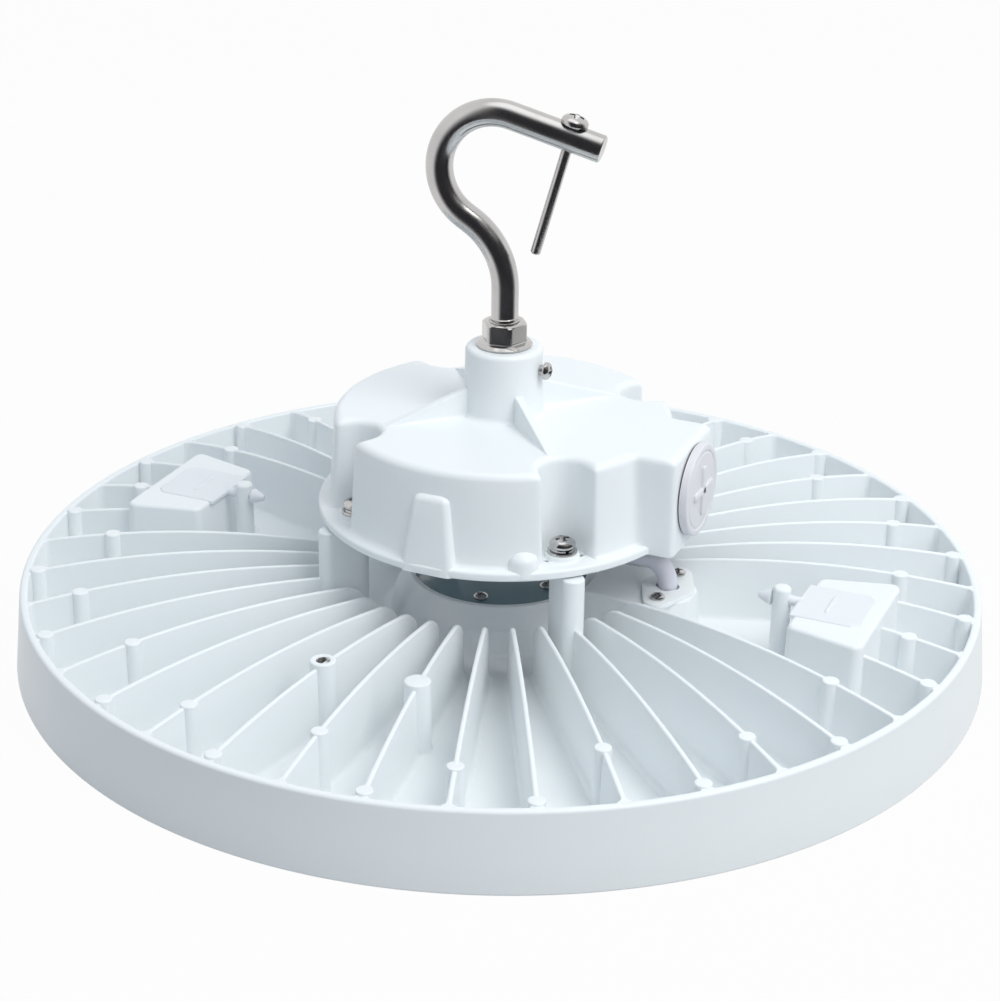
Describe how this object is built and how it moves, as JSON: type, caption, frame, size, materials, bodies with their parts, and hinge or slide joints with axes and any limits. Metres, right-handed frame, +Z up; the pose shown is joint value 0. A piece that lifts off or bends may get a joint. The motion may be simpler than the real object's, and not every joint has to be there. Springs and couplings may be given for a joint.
{
  "type": "high bay light",
  "caption": "Round high bay light: finned heat sink with LEDs and lens below, raised driver housing on posts, selector boxes and a hook with a keeper screw.",
  "frame": {"origin": "centre of the rim's bottom edge, on the surface that the light rests on", "axes": "+Z up along the hook's stem and the fins' centre, +X through the selector box on the side of the driver housing's plug"},
  "size_m": [0.3656, 0.3656, 0.2089],
  "materials": {
    "white_powder_coat": "satin powder coat",
    "steel": "bright stainless steel",
    "circuit_board": "green solder mask",
    "white_board": "white solder mask",
    "led_phosphor": "yellow phosphor",
    "lens_plastic": "clear polycarbonate",
    "component_black": "black moulding",
    "dark_rubber": "black rubber",
    "white_sheath": "soft white sheath",
    "white_plastic": "moulded white plastic",
    "white_silicone": "white silicone",
    "aluminium_plate": "plain sheet"
  },
  "bodies": {
    "root": {"housing": "white_powder_coat", "driver_cover": "white_powder_coat", "deck_plate": "aluminium_plate", "deck_gasket": "dark_rubber", "flat_washers": "steel", "spring_washers": "steel", "driver_screws": "steel", "deck_screws": "steel", "driver_board": "circuit_board", "driver_board_screws": "steel", "transformer": "component_black", "capacitors": "component_black", "choke": "component_black", "entry_plug": "white_plastic", "plug_seal": "dark_rubber", "hook": "steel", "hook_nut": "steel", "hook_set_screw": "steel", "keeper_screw": "steel", "led_lead": "white_sheath", "lead_grommet": "dark_rubber", "entry_plate": "white_powder_coat", "entry_screws": "steel", "entry_seal": "dark_rubber", "lead_plug": "white_sheath", "hub_cover": "component_black", "hub_screws": "steel", "selector_cover_front": "white_silicone", "selector_cover_back": "white_silicone", "selector_boards": "circuit_board", "selectors": "component_black", "led_board": "white_board", "led_board_screws": "steel", "led_packages": "led_phosphor", "lens": "lens_plastic", "lens_seal": "dark_rubber", "lens_screws": "steel"}
  },
  "joints": []
}
